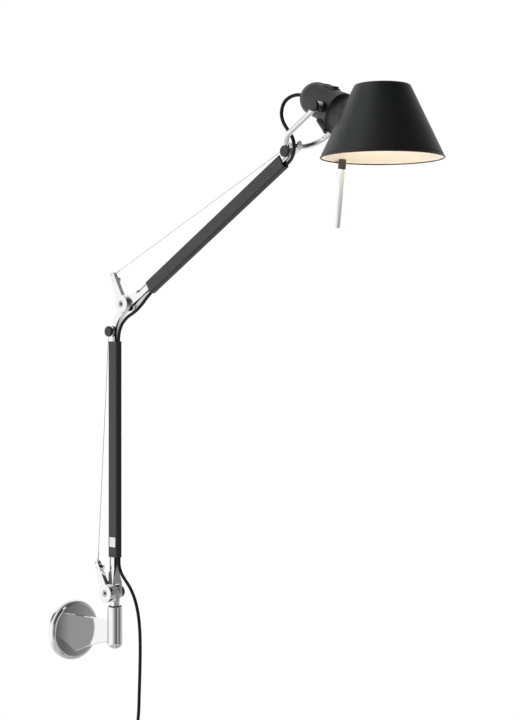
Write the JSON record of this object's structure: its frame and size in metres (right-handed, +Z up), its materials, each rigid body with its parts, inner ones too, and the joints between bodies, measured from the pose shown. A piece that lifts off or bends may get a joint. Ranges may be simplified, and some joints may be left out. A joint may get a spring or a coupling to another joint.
{
  "type": "articulating wall lamp",
  "caption": "Spring-balanced wall lamp with a swivel bracket, two jointed arms with levers and tension wires, a fork and a tilting head with a conical shade.",
  "frame": {"origin": "centre of the wall plate's back face, on the wall", "axes": "+Y into the wall, +Z up, +X to the right as seen looking at the wall; the lamp reaches out along -Y"},
  "size_m": [0.17, 0.7581, 1.1327],
  "materials": {
    "polished_metal": "mirror polished aluminium castings",
    "steel": "plain steel",
    "black_aluminium": "satin black coating on extruded aluminium",
    "black_plastic": "fine matt moulding",
    "shade_metal": "satin black outside, white inside",
    "bright_rod": "bright plated",
    "cord_black": "smooth black sheath",
    "holder_white": "white heat-proof moulding",
    "lamp_cap": "nickel plated",
    "opal_glass": "opal glass, lit"
  },
  "bodies": {
    "wall_mount": {"wall_plate": "steel", "rosette": "polished_metal", "rosette_screw": "steel", "bracket_screw": "steel", "wall_bracket": "polished_metal", "swivel_bush": "black_plastic"},
    "swivel_base": {"stem": "polished_metal", "lower_lever": "polished_metal", "lower_lever_pin": "steel", "lower_lever_disc": "polished_metal", "lower_pivot_bolt": "steel", "lower_pivot_knob": "black_plastic", "lower_wire": "steel", "power_cord": "cord_black", "cord_coil": "cord_black", "cord_tie": "cord_black", "plug": "cord_black"},
    "lower_arm": {"lower_foot": "polished_metal", "lower_sleeve": "black_aluminium", "lower_spring": "steel", "lower_adjuster": "steel", "lower_inner_wire": "steel", "lower_pulley_axle": "polished_metal", "lower_pulley_cap": "black_plastic", "lower_cord_bush": "black_plastic", "elbow_neck": "polished_metal", "upper_lever": "polished_metal", "upper_lever_pin": "steel", "upper_lever_disc": "polished_metal", "upper_pivot_bolt": "steel", "upper_pivot_knob": "black_plastic", "upper_wire": "steel", "elbow_cable": "cord_black"},
    "lower_wheel": {"lower_pulley": "black_plastic"},
    "upper_arm": {"upper_foot": "polished_metal", "upper_sleeve": "black_aluminium", "upper_spring": "steel", "upper_adjuster": "steel", "upper_inner_wire": "steel", "upper_pulley_axle": "polished_metal", "upper_pulley_cap": "black_plastic", "top_neck": "polished_metal", "fork_screw": "steel"},
    "upper_wheel": {"upper_pulley": "black_plastic"},
    "fork": {"fork": "polished_metal"},
    "head": {"head_body": "black_plastic", "head_collar": "black_plastic", "lock_ring": "black_plastic", "lamp_holder": "holder_white", "bulb_cap": "lamp_cap", "bulb": "opal_glass", "tilt_knob_near": "black_plastic", "tilt_knob_far": "black_plastic", "head_cable": "cord_black"},
    "switch": {"rocker": "black_plastic"},
    "shade": {"shade": "shade_metal", "shade_ring": "black_plastic", "grip_socket": "bright_rod", "pull_rod": "bright_rod"}
  },
  "joints": [
    {"name": "swivel", "type": "hinge", "parent": "wall_mount", "child": "swivel_base", "pos_m": [0, -0.11, 0.05], "axis": [0, 0, 1], "range_deg": [-90, 90]},
    {"name": "lower_arm_tilt", "type": "hinge", "parent": "swivel_base", "child": "lower_arm", "pos_m": [0, -0.105, 0.072], "axis": [1, 0, 0], "range_deg": [-15, 60], "deforming": ["lower_wire", "power_cord"]},
    {"name": "lower_pulley_spin", "type": "hinge", "parent": "lower_arm", "child": "lower_wheel", "pos_m": [-0.0037, -0.10425, 0.49], "axis": [1, 0, 0], "continuous": true},
    {"name": "upper_arm_tilt", "type": "hinge", "parent": "lower_arm", "child": "upper_arm", "pos_m": [0, -0.1445, 0.533], "axis": [1, 0, 0], "range_deg": [-65, 60], "deforming": ["upper_wire", "elbow_cable"]},
    {"name": "upper_pulley_spin", "type": "hinge", "parent": "upper_arm", "child": "upper_wheel", "pos_m": [-0.0037, -0.49641, 0.74532], "axis": [1, 0, 0], "continuous": true},
    {"name": "fork_tilt", "type": "hinge", "parent": "upper_arm", "child": "fork", "pos_m": [0, -0.51099, 0.752], "axis": [1, 0, 0], "range_deg": [-60, 60], "deforming": ["head_cable"]},
    {"name": "head_tilt", "type": "hinge", "parent": "fork", "child": "head", "pos_m": [0, -0.5865, 0.79729], "axis": [1, 0, 0], "range_deg": [-90, 40]},
    {"name": "shade_turn", "type": "hinge", "parent": "head", "child": "shade", "pos_m": [0, -0.61816, 0.77751], "axis": [0, -0.9114, -0.4115], "range_deg": [-150, 150]},
    {"name": "rocker_tilt", "type": "hinge", "parent": "head", "child": "switch", "pos_m": [0, -0.57824, 0.82517], "axis": [1, 0, 0], "range_deg": [0, 12]}
  ]
}
